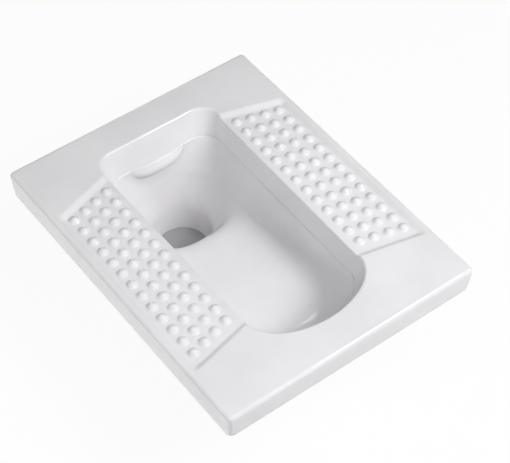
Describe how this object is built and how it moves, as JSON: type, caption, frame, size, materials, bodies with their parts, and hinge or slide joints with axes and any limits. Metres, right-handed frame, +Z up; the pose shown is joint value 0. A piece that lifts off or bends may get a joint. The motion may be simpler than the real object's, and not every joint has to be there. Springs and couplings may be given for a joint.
{
  "type": "squat toilet",
  "caption": "Floor-set squat toilet pan in white glazed china, with studded footrests, drafted flushing rim, spreader, sloping tray, funnel, back inlet and bottom outlet.",
  "frame": {"origin": "on the plane that the pan stands on, under the middle of the deck", "axes": "+Z up, +Y towards the flush inlet at the back, X across the two footrests"},
  "size_m": [0.43, 0.545, 0.2015],
  "materials": {
    "glazed_china": "white gloss glaze",
    "unglazed_china": "matt fired body",
    "seal_rubber": "moulded matt black"
  },
  "bodies": {
    "root": {"deck": "glazed_china", "left_tread": "glazed_china", "right_tread": "glazed_china", "rim_wall": "glazed_china", "rim_box": "glazed_china", "spreader": "glazed_china", "bowl": "glazed_china", "outlet_spigot": "glazed_china", "inlet_horn": "glazed_china", "left_ribs": "unglazed_china", "right_ribs": "unglazed_china", "left_foot": "unglazed_china", "right_foot": "unglazed_china", "inlet_seal": "seal_rubber", "outlet_seal": "seal_rubber"}
  },
  "joints": []
}
